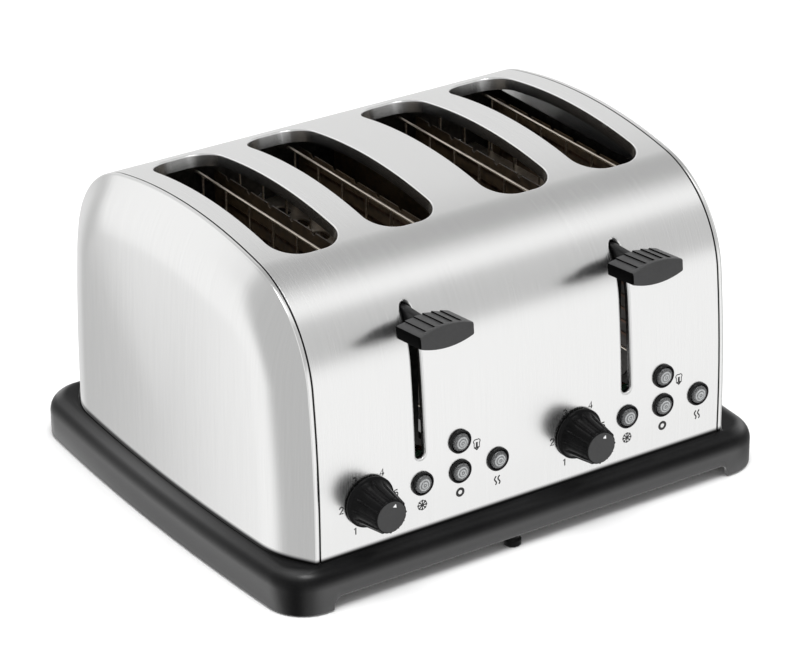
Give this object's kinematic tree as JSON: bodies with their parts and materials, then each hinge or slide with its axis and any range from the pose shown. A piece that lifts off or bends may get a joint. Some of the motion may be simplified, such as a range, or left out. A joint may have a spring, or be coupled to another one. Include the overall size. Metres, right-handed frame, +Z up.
{
  "type": "four-slot toaster",
  "caption": "Wide toaster with brushed steel wrap, pillow-shaped end covers and black base; side-by-side lift levers, browning knobs and push buttons, pull-out crumb trays.",
  "frame": {"origin": "on the floor, in the middle of the whole outline", "axes": "+X along the front from left to right, +Y from front to rear, +Z up"},
  "size_m": [0.356, 0.314, 0.2008],
  "materials": {
    "wrap_steel": "vertical brushed stainless steel",
    "cover_steel": "satin stainless steel",
    "base_plastic": "satin black moulding",
    "rubber": "matte",
    "lever_plastic": "fine-grained charcoal",
    "knob_plastic": "semi-gloss black",
    "bezel_plastic": "gloss black",
    "button_plastic": "milky translucent",
    "chassis_steel": "bare galvanised sheet",
    "bright_steel": "bright wire and pressed steel",
    "mica": "flecked mica sheet",
    "heater_ribbon": "heat-tinted resistance ribbon",
    "circuit_board": "solder-masked board",
    "pot_metal": "plated steel",
    "copper_winding": "enamelled copper",
    "ivory_plastic": "ivory terminal plastic",
    "tray_steel": "bright sheet"
  },
  "bodies": {
    "housing": {"wrap_shell": "wrap_steel", "left_end_cover": "cover_steel", "right_end_cover": "cover_steel", "base_tray": "base_plastic", "bottom_plate": "chassis_steel", "foot_pads": "rubber", "front_foot": "base_plastic", "front_chassis_plate": "chassis_steel", "rear_chassis_plate": "chassis_steel", "terminal_block": "ivory_plastic", "cord_gland": "base_plastic", "bottom_screws": "bright_steel", "slot_1_bread_guides": "bright_steel", "slot_2_bread_guides": "bright_steel", "slot_3_bread_guides": "bright_steel", "slot_4_bread_guides": "bright_steel", "left_button_bezels": "bezel_plastic", "left_heat_shield": "chassis_steel", "left_outer_heater_board": "mica", "left_middle_heater_board": "mica", "left_inner_heater_board": "mica", "left_heater_ribbons": "heater_ribbon", "left_guide_rod": "bright_steel", "left_control_board": "circuit_board", "left_browning_pot": "pot_metal", "left_hold_magnet": "copper_winding", "left_return_spring": "bright_steel", "right_button_bezels": "bezel_plastic", "right_heat_shield": "chassis_steel", "right_outer_heater_board": "mica", "right_middle_heater_board": "mica", "right_inner_heater_board": "mica", "right_heater_ribbons": "heater_ribbon", "right_guide_rod": "bright_steel", "right_control_board": "circuit_board", "right_browning_pot": "pot_metal", "right_hold_magnet": "copper_winding", "right_return_spring": "bright_steel"},
    "left_lift": {"left_lever_pad": "lever_plastic", "left_carriage": "chassis_steel", "slot_1_rack": "bright_steel", "slot_2_rack": "bright_steel"},
    "left_knob": {"left_knob": "knob_plastic"},
    "left_defrost_button": {"left_defrost_button": "button_plastic"},
    "left_bagel_button": {"left_bagel_button": "button_plastic"},
    "left_reheat_button": {"left_reheat_button": "button_plastic"},
    "left_cancel_button": {"left_cancel_button": "button_plastic"},
    "left_crumb_tray": {"left_crumb_tray": "tray_steel"},
    "right_lift": {"right_lever_pad": "lever_plastic", "right_carriage": "chassis_steel", "slot_3_rack": "bright_steel", "slot_4_rack": "bright_steel"},
    "right_knob": {"right_knob": "knob_plastic"},
    "right_defrost_button": {"right_defrost_button": "button_plastic"},
    "right_bagel_button": {"right_bagel_button": "button_plastic"},
    "right_reheat_button": {"right_reheat_button": "button_plastic"},
    "right_cancel_button": {"right_cancel_button": "button_plastic"},
    "right_crumb_tray": {"right_crumb_tray": "tray_steel"}
  },
  "joints": [
    {"name": "left_lift_slide", "type": "slide", "parent": "housing", "child": "left_lift", "axis": [0, 0, -1], "range_m": [0, 0.08], "stiffness_N_per_m": 40, "springref_m": -0.12, "deforming": ["left_return_spring"]},
    {"name": "left_knob_turn", "type": "hinge", "parent": "housing", "child": "left_knob", "pos_m": [-0.111, -0.12993, 0.0566], "axis": [0, 1, 0], "range_deg": [-170, 130]},
    {"name": "left_defrost_press", "type": "slide", "parent": "housing", "child": "left_defrost_button", "axis": [0, 1, 0], "range_m": [0, 0.002], "stiffness_N_per_m": 400, "springref_m": -0.002},
    {"name": "left_bagel_press", "type": "slide", "parent": "housing", "child": "left_bagel_button", "axis": [0, 1, 0], "range_m": [0, 0.002], "stiffness_N_per_m": 400, "springref_m": -0.002},
    {"name": "left_reheat_press", "type": "slide", "parent": "housing", "child": "left_reheat_button", "axis": [0, 1, 0], "range_m": [0, 0.002], "stiffness_N_per_m": 400, "springref_m": -0.002},
    {"name": "left_cancel_press", "type": "slide", "parent": "housing", "child": "left_cancel_button", "axis": [0, 1, 0], "range_m": [0, 0.002], "stiffness_N_per_m": 400, "springref_m": -0.002},
    {"name": "left_tray_slide", "type": "slide", "parent": "housing", "child": "left_crumb_tray", "axis": [0, 1, 0], "range_m": [0, 0.2]},
    {"name": "right_lift_slide", "type": "slide", "parent": "housing", "child": "right_lift", "axis": [0, 0, -1], "range_m": [0, 0.08], "stiffness_N_per_m": 40, "springref_m": -0.12, "deforming": ["right_return_spring"]},
    {"name": "right_knob_turn", "type": "hinge", "parent": "housing", "child": "right_knob", "pos_m": [0.0378, -0.12993, 0.0566], "axis": [0, 1, 0], "range_deg": [-170, 130]},
    {"name": "right_defrost_press", "type": "slide", "parent": "housing", "child": "right_defrost_button", "axis": [0, 1, 0], "range_m": [0, 0.002], "stiffness_N_per_m": 400, "springref_m": -0.002},
    {"name": "right_bagel_press", "type": "slide", "parent": "housing", "child": "right_bagel_button", "axis": [0, 1, 0], "range_m": [0, 0.002], "stiffness_N_per_m": 400, "springref_m": -0.002},
    {"name": "right_reheat_press", "type": "slide", "parent": "housing", "child": "right_reheat_button", "axis": [0, 1, 0], "range_m": [0, 0.002], "stiffness_N_per_m": 400, "springref_m": -0.002},
    {"name": "right_cancel_press", "type": "slide", "parent": "housing", "child": "right_cancel_button", "axis": [0, 1, 0], "range_m": [0, 0.002], "stiffness_N_per_m": 400, "springref_m": -0.002},
    {"name": "right_tray_slide", "type": "slide", "parent": "housing", "child": "right_crumb_tray", "axis": [0, 1, 0], "range_m": [0, 0.2]}
  ]
}
